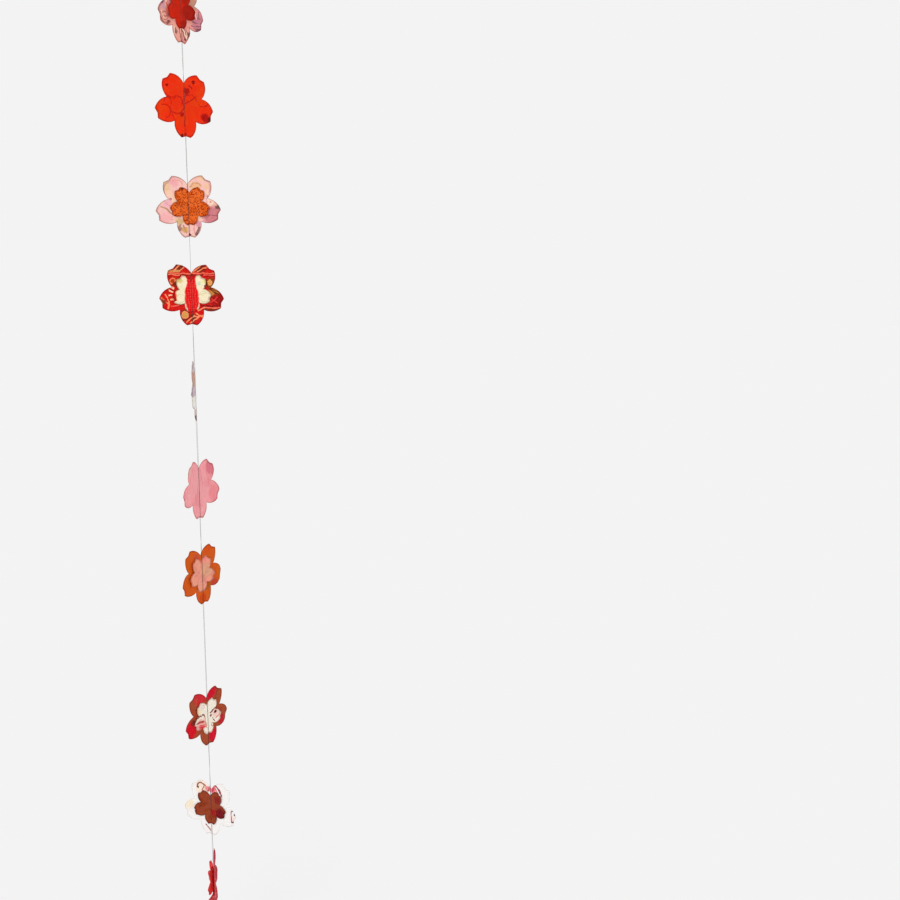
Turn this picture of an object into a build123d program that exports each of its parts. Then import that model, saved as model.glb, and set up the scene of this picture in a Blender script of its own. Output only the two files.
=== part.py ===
from build123d import *
from math import copysign, cos, radians, sin, tan
from typing import NamedTuple
import os

# Paper flower garland: ten pairs of punched paper flowers, a small one on the face of each
# large one, sewn along their middle on one continuous lockstitch seam.
# Millimetres and degrees. +Z is up, the room is at -Y, and the origin is the place inside the
# top of the hanging loop that rests on a hook.

# Both flower punches
petals = 5


class Punch(NamedTuple):
    tip_radius: float      # middle of the flower to the corners of a petal's tip
    neck_radius: float     # middle of the flower to where two petals meet
    tip_width: float       # between the two corners of a petal's tip
    notch_depth: float     # the nick between those corners
    side_crown: float      # how far a petal's side arc stands out from its chord
    paper: float           # thickness of the sheet


large = Punch(tip_radius=31.9, neck_radius=20.0, tip_width=9.8, notch_depth=1.3,
              side_crown=2.4, paper=0.22)
small = Punch(tip_radius=19.6, neck_radius=12.3, tip_width=6.2, notch_depth=1.0,
              side_crown=1.5, paper=0.18)

# Thread, loop and knots
thread_diameter = 0.3
thread_sides = 8           # flats round a thread, which is too thin to need a round section
seam_clearance = 0.1       # between a thread and the paper that it is pulled against
pair_clearance = 0.2       # between the two threads where they wind round each other
widest_straight = 15.0     # widest turn about each other that one straight run may make
widest_winding = 100.0     # and the widest that two runs may make between them
knot_diameter = 1.4
knot_length = 2.2
knot_bevel = 0.3           # of a knot's two rims
strand_spacing = 0.5       # between the middles of the loop's legs where they enter the knot
strand_lead = 1.6          # and how far they stand straight up from it
loop_height = 16.0
loop_width = 6.0
loop_shoulder = 3.2        # from the top of the loop down to where it is widest
loop_crown_width = 3.6     # width of the loop's top, over the hook
usual_spacing = 100.0      # between the middles of two flowers, as the maker aims at
thread_above = 11.4        # knot to the first flower
thread_below = 6.0         # last flower to the knot
cut_end_length = 4.0
cut_end_spread = 14.0      # degrees between each cut end and the line of the garland


class Flower(NamedTuple):
    spacings: float        # usual spacings below the flower above, put there by eye
    facing: float          # turn of its face about the thread, 0 towards the room
    large_roll: float      # turn of the large sheet in its own plane
    small_roll: float
    large_fold: float      # lift of each wing towards the face, hinged on the seam
    large_bend: float      # and how far the wing curls on from there to its petals' tips
    small_fold: float
    small_bend: float
    small_aside: float     # middle of the small sheet, to the right of the seam
    small_up: float        # and above the middle of the large one


flowers = [
    Flower(0.0, 58.0, -1.0, 4.0, -3.0, 9.0, 1.0, 12.0, -1.5, 1.2),
    Flower(0.885, 221.0, -0.5, 2.0, -2.0, 6.0, 2.0, 9.0, 0.6, 0.5),
    Flower(0.960, 6.0, 1.0, 0.0, 0.5, 5.0, 2.5, 8.0, 1.6, -0.2),
    Flower(0.861, 14.0, -1.0, 1.0, -1.0, 4.0, 1.0, 7.0, 0.0, 0.4),
    Flower(0.961, 281.5, 2.0, -2.0, 5.0, 3.0, 8.0, 6.0, 0.4, 0.8),
    Flower(1.001, 246.0, 2.0, 3.0, -2.0, -6.0, 2.0, 8.0, -0.5, 0.0),
    Flower(0.897, 61.0, 5.0, 0.5, -3.0, 6.0, 1.5, 9.0, -1.3, 0.6),
    Flower(1.523, 56.0, 3.6, 3.5, -5.0, 8.0, -1.0, 11.0, -0.5, -0.2),
    Flower(1.005, 338.0, -3.0, 0.5, 1.0, 5.0, 3.0, 10.0, -0.4, 0.0),
    Flower(0.816, 281.0, 1.0, -1.0, -4.0, -5.0, 12.0, 12.0, 0.0, 0.3),
]

thread_radius = thread_diameter / 2
knot_top = -loop_height
knot_bottom = knot_top - knot_length
first_middle = knot_bottom - thread_above - large.neck_radius
seam_foot = large.tip_radius - large.notch_depth

needle_offset = small.paper + seam_clearance + thread_radius
bobbin_offset = large.paper + seam_clearance + thread_radius
winding_offset = thread_radius + pair_clearance / 2


def flower_heights():
    heights = []
    height = first_middle
    for flower in flowers:
        height -= flower.spacings * usual_spacing
        heights.append(height)
    return heights


heights = flower_heights()
end_knot_top = heights[-1] - seam_foot - thread_below


# Where a point of a wing lies once the sheet is creased and curled: its distance from the seam
# and its lift towards the face. reach is its distance from the seam in the flat sheet, and the
# wing curls by bend on its way from the seam to a petal's tip.
def on_wing(punch, reach, fold, bend):
    half_turn = radians(bend) * reach / punch.tip_radius / 2
    chord = reach * sin(half_turn) / half_turn if half_turn else reach
    rise = radians(fold) + half_turn
    return Vector(chord * cos(rise), chord * sin(rise))


# A flower's outline, seen square on, with one petal straight down. Across the seam it is as
# narrow as the crease and the curl make it, so that the flat sheet has the punch's own size.
def flower_outline(punch, roll, fold, bend, aside, up):
    half_pitch = 180 / petals
    half_tip = punch.tip_width / 2
    tip_along = (punch.tip_radius**2 - half_tip**2) ** 0.5
    neck = Vector(0, punch.neck_radius).rotate(Axis.Z, -half_pitch)
    corner = Vector(half_tip, tip_along)
    chord = corner - neck
    side = (neck + corner) / 2 + Vector(chord.Y, -chord.X).normalized() * punch.side_crown
    notch = Vector(0, tip_along - punch.notch_depth)

    def place(point, turn, mirror=1):
        turned = Vector(point.X * mirror, point.Y).rotate(Axis.Z, turn) + Vector(aside, up)
        across = on_wing(punch, abs(turned.X), fold, bend).X
        return (copysign(across, turned.X), turned.Y)

    edges = []
    for petal in range(petals):
        turn = 180 + roll + petal * 2 * half_pitch
        edges.append(ThreePointArc(place(neck, turn), place(side, turn), place(corner, turn)))
        edges.append(Line(place(corner, turn), place(notch, turn)))
        edges.append(Line(place(notch, turn), place(corner, turn, -1)))
        edges.append(ThreePointArc(place(corner, turn, -1), place(side, turn, -1),
                                   place(neck, turn, -1)))
    return make_face(edges)


# A strip of paper creased along Y, whose two wings curl alike. back_crease is the height of its
# underside at the crease, and reach its flat width on each side.
def creased_strip(punch, reach, fold, bend, back_crease):
    def surface(distance, mirror, depth):
        point = on_wing(punch, distance, fold, bend)
        slope = radians(fold + bend * distance / punch.tip_radius)
        point += Vector(-sin(slope), cos(slope)) * depth
        return (point.X * mirror, point.Y + back_crease)

    def wing_edge(mirror, depth):
        crease = (0, back_crease + depth / cos(radians(fold)))
        end = surface(reach, mirror, depth)
        if not bend:
            return Line(crease, end)
        return ThreePointArc(crease, surface(reach / 2, mirror, depth), end)

    edges = [wing_edge(mirror, depth) for mirror in (-1, 1) for depth in (0, punch.paper)]
    edges += [Line(surface(reach, m, 0), surface(reach, m, punch.paper)) for m in (-1, 1)]
    return extrude(Plane.XZ * make_face(edges), amount=reach, both=True)


# One creased flower sheet, its face upwards.
def flower_sheet(punch, roll, fold, bend, back_crease, aside=0.0, up=0.0):
    reach = punch.tip_radius + abs(aside) + abs(up) + 1
    outline = flower_outline(punch, roll, fold, bend, aside, up)
    prism = extrude(outline, amount=reach, both=True)
    return prism & creased_strip(punch, reach, fold, bend, back_crease)


# Stands a sheet up at its height on the garland and turns its face.
def hang(sheet, flower, height):
    return Pos(0, 0, height) * Rot(0, 0, flower.facing) * Rot(90, 0, 0) * sheet


def large_sheet(flower, height):
    under = -large.paper / cos(radians(flower.large_fold))
    sheet = flower_sheet(large, flower.large_roll, flower.large_fold, flower.large_bend, under)
    return hang(sheet, flower, height)


def small_sheet(flower, height):
    sheet = flower_sheet(small, flower.small_roll, flower.small_fold, flower.small_bend, 0.0,
                         flower.small_aside, flower.small_up)
    return hang(sheet, flower, height)


# The turn between one flower's face and the next, by the shorter way round.
def turn_between(upper, lower):
    return (lower.facing - upper.facing + 180) % 360 - 180


# A point at some distance from the garland's line, on the side that faces a direction.
def beside(facing, offset, height):
    return Vector(0, -offset, 0).rotate(Axis.Z, facing) + Vector(0, 0, height)


# The points that one thread of the seam runs through: from knot to knot, along the crease of
# every flower, and wound half round its partner where the faces turn far. Where two faces are
# nearly alike it runs straight past both.
def seam_route(offset, side):
    points = [beside(flowers[0].facing + side, offset, knot_bottom)]
    for index, (upper, lower) in enumerate(zip(flowers, flowers[1:])):
        turn = turn_between(upper, lower)
        if abs(turn) <= widest_straight:
            continue
        foot = heights[index] - seam_foot
        next_top = heights[index + 1] + large.neck_radius
        points.append(beside(upper.facing + side, offset, foot))
        if abs(turn) > widest_winding:
            points.append(beside(upper.facing + side + turn / 2, winding_offset,
                                 (foot + next_top) / 2))
        points.append(beside(lower.facing + side, offset, next_top))
    points.append(beside(flowers[-1].facing + side, offset, end_knot_top))
    return points


# Arcs as large as the two runs at each point allow.
def corner_radii(points):
    share = 0.45
    radii = []
    for before, here, after in zip(points, points[1:], points[2:]):
        arriving = here - before
        leaving = after - here
        turn = arriving.get_angle(leaving)
        shorter = min(arriving.length, leaving.length)
        radii.append(share * shorter / tan(radians(turn / 2)))
    return radii


# The section of a thread that starts at one point on its way to the next.
def thread_section(point, towards):
    start = Plane(origin=point, z_dir=towards - point)
    return start * RegularPolygon(thread_radius, thread_sides)


# One thread of the seam: pulled taut, it turns by a few degrees at most from run to run, so its
# runs meet in plain mitres.
def seam_thread(points):
    return sweep(thread_section(*points[:2]), path=Polyline(*points))


# The loop: two legs from the knot, over the hook and back, as a weight pulls them.
def hanging_loop():
    crown = thread_radius
    half = [
        Vector(strand_spacing / 2, 0, knot_top),
        Vector(strand_spacing / 2, 0, knot_top + strand_lead),
        Vector(loop_width / 2, 0, crown - loop_shoulder),
        Vector(loop_crown_width / 2, 0, crown),
    ]
    points = half + [Vector(-point.X, 0, point.Z) for point in reversed(half)]
    path = FilletPolyline(*points, radius=corner_radii(points))
    return sweep(thread_section(*points[:2]), path=path)


# A pulled-tight knot, as a drum with bevelled rims and flat ends where the strands go in.
def knot(top):
    drum = Cylinder(knot_diameter / 2, knot_length, align=(Align.CENTER, Align.CENTER, Align.MAX))
    return Pos(0, 0, top) * chamfer(drum.edges().filter_by(GeomType.CIRCLE), knot_bevel)


# The knot at the foot, with the two cut ends of the threads.
def end_knot():
    body = knot(end_knot_top)
    sunk = knot_length / 2
    for side in (-1, 1):
        end = extrude(RegularPolygon(thread_radius, thread_sides), amount=-sunk - cut_end_length)
        spread = Rot(0, -side * cut_end_spread, 0) * end
        body += Pos(side * strand_spacing / 4, 0, end_knot_top - sunk) * spread
    return body


os.makedirs("parts", exist_ok=True)

for index, flower in enumerate(flowers):
    name = f"flower_{index + 1:02d}"
    export_step(large_sheet(flower, heights[index]), f"parts/{name}_large_sheet.step")
    export_step(small_sheet(flower, heights[index]), f"parts/{name}_small_sheet.step")

needle_route = seam_route(needle_offset, 0)
bobbin_route = seam_route(bobbin_offset, 180)
export_step(seam_thread(needle_route), "parts/needle_thread.step")
export_step(seam_thread(bobbin_route), "parts/bobbin_thread.step")
export_step(hanging_loop(), "parts/hanging_loop.step")
export_step(knot(knot_top), "parts/top_knot.step")
export_step(end_knot(), "parts/bottom_knot.step")
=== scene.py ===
import bmesh
import bpy
import math
from mathutils import Matrix, Vector, noise


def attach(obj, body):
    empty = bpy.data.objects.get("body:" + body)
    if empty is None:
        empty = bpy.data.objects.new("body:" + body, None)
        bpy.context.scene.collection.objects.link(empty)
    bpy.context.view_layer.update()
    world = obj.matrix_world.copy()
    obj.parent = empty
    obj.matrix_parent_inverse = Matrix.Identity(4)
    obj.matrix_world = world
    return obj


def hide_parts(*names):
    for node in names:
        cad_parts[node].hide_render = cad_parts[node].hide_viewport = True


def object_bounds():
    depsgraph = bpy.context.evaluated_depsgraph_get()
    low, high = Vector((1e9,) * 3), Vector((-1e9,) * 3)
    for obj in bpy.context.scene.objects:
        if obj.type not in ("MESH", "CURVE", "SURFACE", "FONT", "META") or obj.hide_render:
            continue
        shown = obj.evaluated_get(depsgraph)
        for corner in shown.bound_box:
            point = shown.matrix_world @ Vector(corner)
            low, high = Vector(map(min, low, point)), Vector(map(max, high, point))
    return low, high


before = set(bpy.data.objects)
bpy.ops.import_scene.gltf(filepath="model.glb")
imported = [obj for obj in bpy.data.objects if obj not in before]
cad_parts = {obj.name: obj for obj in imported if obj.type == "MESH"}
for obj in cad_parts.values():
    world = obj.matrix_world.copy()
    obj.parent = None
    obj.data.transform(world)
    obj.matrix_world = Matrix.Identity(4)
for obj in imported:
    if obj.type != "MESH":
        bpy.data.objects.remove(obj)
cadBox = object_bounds()
scene = bpy.context.scene
scene.view_settings.view_transform = "Standard"
mm = 0.001


def tint(red, green, blue):  # a colour as it is seen, 0 to 255, made linear
    return tuple(((c / 255 + 0.055) / 1.055) ** 2.4 if c > 10 else c / 255 / 12.92
                 for c in (red, green, blue)) + (1.0,)


class Wire:  # a socket that can be used in plain expressions
    def __init__(self, shade, socket):
        self.shade, self.socket = shade, socket

    def calc(self, operation, *values):
        return self.shade.add("ShaderNodeMath", {"operation": operation}, dict(enumerate(values)))

    def __add__(self, other): return self.calc("ADD", self, other)
    def __radd__(self, other): return self.calc("ADD", other, self)
    def __sub__(self, other): return self.calc("SUBTRACT", self, other)
    def __rsub__(self, other): return self.calc("SUBTRACT", other, self)
    def __mul__(self, other): return self.calc("MULTIPLY", self, other)
    def __rmul__(self, other): return self.calc("MULTIPLY", other, self)
    def __truediv__(self, other): return self.calc("DIVIDE", self, other)
    def __abs__(self): return self.calc("ABSOLUTE", self)
    def cosine(self): return self.calc("COSINE", self)


class Shade:  # one material and its nodes
    def __init__(self, name):
        self.material = bpy.data.materials.new(name)
        self.material.use_nodes = True
        self.tree = self.material.node_tree
        self.tree.nodes.clear()
        self.out = self.tree.nodes.new("ShaderNodeOutputMaterial")

    def add(self, kind, settings=None, values=None, output=0):
        node = self.tree.nodes.new(kind)
        for key, value in (settings or {}).items():
            setattr(node, key, value)
        for key, value in (values or {}).items():
            socket = node.inputs[key]
            if isinstance(value, Wire):
                self.tree.links.new(value.socket, socket)
            else:
                socket.default_value = value
        return Wire(self, node.outputs[output])

    def mix(self, mask, first, second, blend="MIX"):
        return self.add("ShaderNodeMix", {"data_type": "RGBA", "blend_type": blend},
                        {0: mask, 6: first, 7: second}, 2)

    def step(self, value, low, high, first=0.0, last=1.0):
        return self.add("ShaderNodeMapRange", {"interpolation_type": "SMOOTHSTEP"},
                        {0: value, 1: low, 2: high, 3: first, 4: last})

    def vector(self, operation, first, second, output=0):
        return self.add("ShaderNodeVectorMath", {"operation": operation}, {0: first, 1: second}, output)

    def distance(self, place, x, y):
        return self.vector("DISTANCE", place, (x, y, 0), 1)

    def along(self, place, angle, offset):  # signed distance from a line at an angle
        turn = math.radians(angle)
        return self.vector("DOT_PRODUCT", place, (-math.sin(turn), math.cos(turn), 0), 1) - offset

    def noise(self, place, scale, detail=2.0, rough=0.5, distortion=0.0, output=0):
        return self.add("ShaderNodeTexNoise", None, {"Vector": place, "Scale": scale, "Detail": detail,
                        "Roughness": rough, "Distortion": distortion}, output)

    def finish(self, **values):
        inputs = {key.replace("_", " "): value for key, value in values.items()}
        surface = self.add("ShaderNodeBsdfPrincipled", None, inputs)
        self.tree.links.new(surface.socket, self.out.inputs["Surface"])
        return self.material


view = {"lens": 50.0, "sensor": 36.0, "place": (0.2553, -1.25, -0.2884), "pitch": 8.677, "roll": -0.408}
cameraData = bpy.data.cameras.new("camera")
cameraData.lens, cameraData.sensor_width = view["lens"], view["sensor"]
camera = bpy.data.objects.new("camera", cameraData)
scene.collection.objects.link(camera)
cameraTurn = (Matrix.Rotation(math.radians(90 - view["pitch"]), 4, "X")
              @ Matrix.Rotation(math.radians(view["roll"]), 4, "Z"))
camera.matrix_world = Matrix.Translation(view["place"]) @ cameraTurn
scene.camera = camera
print("camera placed")

# the garland's own sizes, as the model has them, in millimetres and degrees

petals = 5
largePunch = {"tip": 31.9, "neck": 20.0, "tipWidth": 9.8, "notch": 1.3, "crown": 2.4, "paper": 0.22}
smallPunch = {"tip": 19.6, "neck": 12.3, "tipWidth": 6.2, "notch": 1.0, "crown": 1.5, "paper": 0.18}
strand = {"radius": 0.15, "clearance": 0.1, "pairGap": 0.2, "usualSpacing": 100.0, "straight": 15.0,
          "winding": 100.0, "inside": 2.0, "above": 11.4, "below": 6.0, "lineSteps": 40}
loop = {"height": 16.0, "width": 6.0, "shoulder": 3.2, "crown": 3.6, "spacing": 0.5, "lead": 1.6,
        "lineSteps": 24}
knotSize = {"radius": 0.7, "length": 2.2, "endLength": 4.0, "endSpread": 14.0}

# spacings, facing, large and small roll, large fold and bend, small fold and bend, small aside and up
flowers = [
    (0.0, 58.0, -1.0, 4.0, -3.0, 9.0, 1.0, 12.0, -1.5, 1.2),
    (0.885, 221.0, -0.5, 2.0, -2.0, 6.0, 2.0, 9.0, 0.6, 0.5),
    (0.960, 6.0, 1.0, 0.0, 0.5, 5.0, 2.5, 8.0, 1.6, -0.2),
    (0.861, 14.0, -1.0, 1.0, -1.0, 4.0, 1.0, 7.0, 0.0, 0.4),
    (0.961, 281.5, 2.0, -2.0, 5.0, 3.0, 8.0, 6.0, 0.4, 0.8),
    (1.001, 246.0, 2.0, 3.0, -2.0, -6.0, 2.0, 8.0, -0.5, 0.0),
    (0.897, 61.0, 5.0, 0.5, -3.0, 6.0, 1.5, 9.0, -1.3, 0.6),
    (1.523, 56.0, 3.6, 3.5, -5.0, 8.0, -1.0, 11.0, -0.5, -0.2),
    (1.005, 338.0, -3.0, 0.5, 1.0, 5.0, 3.0, 10.0, -0.4, 0.0),
    (0.816, 281.0, 1.0, -1.0, -4.0, -5.0, 12.0, 12.0, 0.0, 0.3),
]
knotTop = -loop["height"]
knotBottom = knotTop - knotSize["length"]
heights = []
middle = knotBottom - strand["above"] - largePunch["neck"]
for flower in flowers:
    middle -= flower[0] * strand["usualSpacing"]
    heights.append(middle)
seamFoot = largePunch["tip"] - largePunch["notch"]
endKnotTop = heights[-1] - seamFoot - strand["below"]


def beside(facing, offset, height):
    return Matrix.Rotation(math.radians(facing), 3, "Z") @ Vector((0, -offset, 0)) + Vector((0, 0, height))


def seamRoute(offset, side):  # the points inside a flower's edges keep the seam straight on the flower
    points = [beside(flowers[0][1] + side, offset, knotBottom)]
    for index, (upper, lower) in enumerate(zip(flowers, flowers[1:])):
        turned = (lower[1] - upper[1] + 180) % 360 - 180
        if abs(turned) <= strand["straight"]:
            continue
        foot, nextTop = heights[index] - seamFoot, heights[index + 1] + largePunch["neck"]
        points.append(beside(upper[1] + side, offset, foot + strand["inside"]))
        points.append(beside(upper[1] + side, offset, foot))
        if abs(turned) > strand["winding"]:
            points.append(beside(upper[1] + side + turned / 2, strand["radius"] + strand["pairGap"] / 2,
                                 (foot + nextTop) / 2))
        points.append(beside(lower[1] + side, offset, nextTop))
        points.append(beside(lower[1] + side, offset, nextTop - strand["inside"]))
    points.append(beside(flowers[-1][1] + side, offset, endKnotTop))
    return [point * mm for point in points]


def splinePoints(name, route, resolution):  # the line of a smooth spline through a route's control points
    data = bpy.data.curves.new(name, "CURVE")
    data.dimensions = "3D"
    data.resolution_u = resolution
    spline = data.splines.new("NURBS")
    spline.points.add(len(route) - 1)
    for point, place in zip(spline.points, route):
        point.co = (*place, 1.0)
    spline.order_u = 3
    spline.use_endpoint_u = True
    curve = bpy.data.objects.new(name, data)
    scene.collection.objects.link(curve)
    mesh = bpy.data.meshes.new_from_object(curve)
    points = [vertex.co.copy() for vertex in mesh.vertices]
    bpy.data.objects.remove(curve)
    bpy.data.meshes.remove(mesh)
    if (points[0] - Vector(route[0])).length > (points[-1] - Vector(route[0])).length:
        points.reverse()
    return points


def pathFrames(points):  # for each point: the run so far, the point, and two directions across the line
    frames, run = [], 0.0
    for index, point in enumerate(points):
        after, before = points[min(index + 1, len(points) - 1)], points[max(index - 1, 0)]
        tangent = (after - before).normalized()
        across = Vector((0, 1, 0)).cross(tangent).normalized()
        if index:
            run += (point - points[index - 1]).length
        frames.append((run, point, across, tangent.cross(across)))
    return frames


def addPiece(name, bm, node, materials):
    mesh = bpy.data.meshes.new(name)
    bm.normal_update()
    bm.to_mesh(mesh)
    bm.free()
    piece = bpy.data.objects.new(name, mesh)
    scene.collection.objects.link(piece)
    for material in materials:
        mesh.materials.append(material)
    mesh.shade_smooth()
    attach(piece, "root")
    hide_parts(node)
    return piece


twist = {"plies": 3, "sides": 9, "lobe": 0.14, "piece": 12 * mm, "turns": 40 / 3, "steps": 56, "weld": 20}


def twistedThread(name, points, radius, dip=None):
    frames = pathFrames(points)
    length = frames[-1][0]
    count = max(1, round(length / twist["piece"]))
    bm = bmesh.new()
    ring = bmesh.ops.create_circle(bm, cap_ends=False, segments=twist["sides"], radius=radius)["verts"]
    for vertex in ring:
        angle = math.atan2(vertex.co.y, vertex.co.x)
        vertex.co *= 1 - twist["lobe"] * (1 - math.cos(twist["plies"] * angle)) / 2
    bmesh.ops.spin(bm, geom=ring + bm.edges[:], cent=(0, 0, 0), axis=(0, 0, 1), steps=twist["steps"],
                   dvec=(0, 0, length / count / twist["steps"]), angle=twist["turns"] * 2 * math.pi,
                   use_merge=False, use_duplicate=False)
    first = bm.verts[:] + bm.edges[:] + bm.faces[:]
    for number in range(1, count):  # a short piece again and again, since its ends match
        copy = bmesh.ops.duplicate(bm, geom=first)["geom"]
        bmesh.ops.translate(bm, verts=[part for part in copy if isinstance(part, bmesh.types.BMVert)],
                            vec=(0, 0, number * length / count))
    bmesh.ops.remove_doubles(bm, verts=bm.verts[:], dist=radius / twist["weld"])
    bmesh.ops.holes_fill(bm, edges=[edge for edge in bm.edges if edge.is_boundary], sides=0)
    at = 0
    for vertex in sorted(bm.verts, key=lambda v: v.co.z):
        run = vertex.co.z
        while at < len(frames) - 2 and frames[at + 1][0] < run:
            at += 1
        low, high = frames[at], frames[at + 1]
        share = (run - low[0]) / max(high[0] - low[0], 1e-9)
        place = low[1].lerp(high[1], share)
        across, out = low[2].lerp(high[2], share), low[3].lerp(high[3], share)
        if dip:
            place = dip(place)
        vertex.co = place + across * vertex.co.x + out * vertex.co.y
    bmesh.ops.recalc_face_normals(bm, faces=bm.faces[:])
    return bm


yarn = {"fuzz": 900.0, "long": 25.0, "dark": (88, 62, 60), "light": (134, 108, 104), "faded": (70, 50, 52),
        "fadedShare": 0.5, "bump": 0.4, "bumpDepth": 0.00004}


def threadMaterial():
    shade = Shade("sewing thread")
    place = shade.add("ShaderNodeTexCoord", None, None, 3)
    fuzz = shade.noise(place, yarn["fuzz"], 3.0, 0.6)
    long = shade.noise(place, yarn["long"], 2.0)
    colour = shade.mix(shade.step(fuzz, 0.35, 0.7), tint(*yarn["dark"]), tint(*yarn["light"]))
    colour = shade.mix(shade.step(long, 0.3, 0.75, 0.0, yarn["fadedShare"]), colour, tint(*yarn["faded"]))
    bump = shade.add("ShaderNodeBump", None,
                     {"Strength": yarn["bump"], "Distance": yarn["bumpDepth"], "Height": fuzz})
    return shade.finish(Base_Color=colour, Roughness=0.7, Normal=bump, Sheen_Weight=0.3, Sheen_Roughness=0.5)


threadLook = threadMaterial()
stitch = {"pitch": 2.5, "depth": 0.17, "margin": 0.4, "sharpness": 6}


def stitchDip(side):  # the strand goes down into a hole in the paper once a stitch
    def dip(place):
        z = place.z / mm
        for index, height in enumerate(heights):
            half = largePunch["neck"] if z > height else seamFoot
            if abs(z - height) < half - stitch["margin"]:
                wave = 0.5 + 0.5 * math.cos((z - height) / stitch["pitch"] * 2 * math.pi)
                inward = beside(flowers[index][1] + side, -1.0, 0)
                return place + inward * (stitch["depth"] * wave ** stitch["sharpness"] * mm)
        return place
    return dip


offsets = {"needle_thread": (smallPunch["paper"], 0), "bobbin_thread": (largePunch["paper"], 180)}
for node, (paper, side) in offsets.items():
    route = seamRoute(paper + strand["clearance"] + strand["radius"], side)
    points = splinePoints(node + " line", route, strand["lineSteps"])
    bm = twistedThread(node, points, strand["radius"] * mm, stitchDip(side))
    piece = addPiece(node.replace("_t", "T"), bm, node, [threadLook])
    run = pathFrames(points)[-1][0]
    print(node, "measures", round(run, 4))


def hangingLoop():
    crown = strand["radius"]
    half = [(loop["spacing"] / 2, knotTop), (loop["spacing"] / 2, knotTop + loop["lead"]),
            (loop["width"] / 2, crown - loop["shoulder"]), (loop["crown"] / 2, crown)]
    route = [Vector((x, 0, z)) * mm for x, z in half] + [Vector((-x, 0, z)) * mm for x, z in reversed(half)]
    points = splinePoints("hanging loop line", route, loop["lineSteps"])
    piece = addPiece("hangingLoop", twistedThread("hangingLoop", points, strand["radius"] * mm),
                     "hanging_loop", [threadLook])
    run = pathFrames(points)[-1][0]
    print("loop measures", round(run, 4))


hangingLoop()


wound = {"turns": 4, "strand": 0.17, "sides": 8, "steps": 20, "inset": 1.2, "core": 0.42, "coreSides": 16,
         "coreShort": 0.1, "crossingSides": 10, "crossingShort": 0.3, "crossingTilt": 0.35,
         "crossingSink": 0.6}
cutEnd = {"sides": 9, "flare": 1.25, "aside": 0.12}


def knotPiece(name, node, top, ends):
    bm = bmesh.new()
    size, length = wound["strand"], knotSize["length"]
    centre = top - length / 2
    ring = bmesh.ops.create_circle(bm, cap_ends=True, segments=wound["sides"], radius=size)["verts"]
    bmesh.ops.rotate(bm, verts=ring, cent=(0, 0, 0), matrix=Matrix.Rotation(math.pi / 2, 3, "X"))
    bmesh.ops.translate(bm, verts=ring, vec=(knotSize["radius"] - size, 0, top - size * wound["inset"]))
    drop = length - 2 * wound["inset"] * size
    steps = wound["turns"] * wound["steps"]
    bmesh.ops.spin(bm, geom=bm.faces[:], cent=(0, 0, 0), axis=(0, 0, 1), dvec=(0, 0, -drop / steps),
                   angle=wound["turns"] * 2 * math.pi, steps=steps, use_merge=False, use_duplicate=False)
    core = bmesh.ops.create_cone(bm, cap_ends=True, segments=wound["coreSides"], radius1=wound["core"],
                                 radius2=wound["core"], depth=length - wound["coreShort"])["verts"]
    bmesh.ops.translate(bm, verts=core, vec=(0, 0, centre))
    crossing = bmesh.ops.create_cone(bm, cap_ends=True, segments=wound["crossingSides"], radius1=size,
                                     radius2=size, depth=length - wound["crossingShort"])["verts"]
    bmesh.ops.rotate(bm, verts=crossing, cent=(0, 0, 0),
                     matrix=Matrix.Rotation(wound["crossingTilt"], 3, "Y"))
    bmesh.ops.translate(bm, verts=crossing,
                        vec=(0, -(knotSize["radius"] - size * wound["crossingSink"]), centre))
    if ends:
        for side in (-1, 1):
            cut = bmesh.ops.create_cone(bm, cap_ends=True, segments=cutEnd["sides"],
                                        radius1=strand["radius"] * cutEnd["flare"],
                                        radius2=strand["radius"], depth=knotSize["endLength"])["verts"]
            bmesh.ops.translate(bm, verts=cut, vec=(0, 0, -knotSize["endLength"] / 2 - length / 2))
            bmesh.ops.rotate(bm, verts=cut, cent=(0, 0, 0),
                             matrix=Matrix.Rotation(math.radians(-side * knotSize["endSpread"]), 3, "Y"))
            bmesh.ops.translate(bm, verts=cut, vec=(side * cutEnd["aside"], 0, centre))
    bmesh.ops.scale(bm, verts=bm.verts[:], vec=(mm, mm, mm))
    bmesh.ops.recalc_face_normals(bm, faces=bm.faces[:])
    addPiece(name, bm, node, [threadLook])


knotPiece("topKnot", "top_knot", knotTop, False)
knotPiece("bottomKnot", "bottom_knot", endKnotTop, True)
print("threads and knots made")


def outlinePoints(punch, sideSteps, tipSteps):  # half a petal's edge, from where two petals meet to the notch
    half = punch["tipWidth"] / 2
    alongTip = math.sqrt(punch["tip"] ** 2 - half ** 2)
    neck = Matrix.Rotation(-math.pi / petals, 2) @ Vector((0, punch["neck"]))
    corner = Vector((half, alongTip))
    chord = corner - neck
    out = Vector((chord.y, -chord.x)).normalized()
    radius = (chord.length ** 2 / 4 + punch["crown"] ** 2) / 2 / punch["crown"]
    centre = (neck + corner) / 2 - out * (radius - punch["crown"])
    spread = math.asin(chord.length / 2 / radius)
    side = []
    for k in range(sideSteps):
        angle = spread * (2 * k / sideSteps - 1)
        side.append(centre + Matrix.Rotation(angle, 2) @ out * radius)
    notch = Vector((0, alongTip - punch["notch"]))
    return side + [corner.lerp(notch, k / tipSteps) for k in range(tipSteps + 1)]


def onWing(punch, reach, fold, bend):
    halfTurn = math.radians(bend) * reach / punch["tip"] / 2
    chord = reach * math.sin(halfTurn) / halfTurn if halfTurn else reach
    rise = math.radians(fold) + halfTurn
    return chord * math.cos(rise), chord * math.sin(rise)


flatSpan = 100  # millimetres across the sheets' flat maps
# the ripples: how fine, how high, and how far apart in the noise
cutting = {"bunching": 0.85, "weld": 1e-4, "ripples": ((0.07, 0.9, 0), (0.2, 0.3, 9)), "calmSeam": 3}


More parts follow.
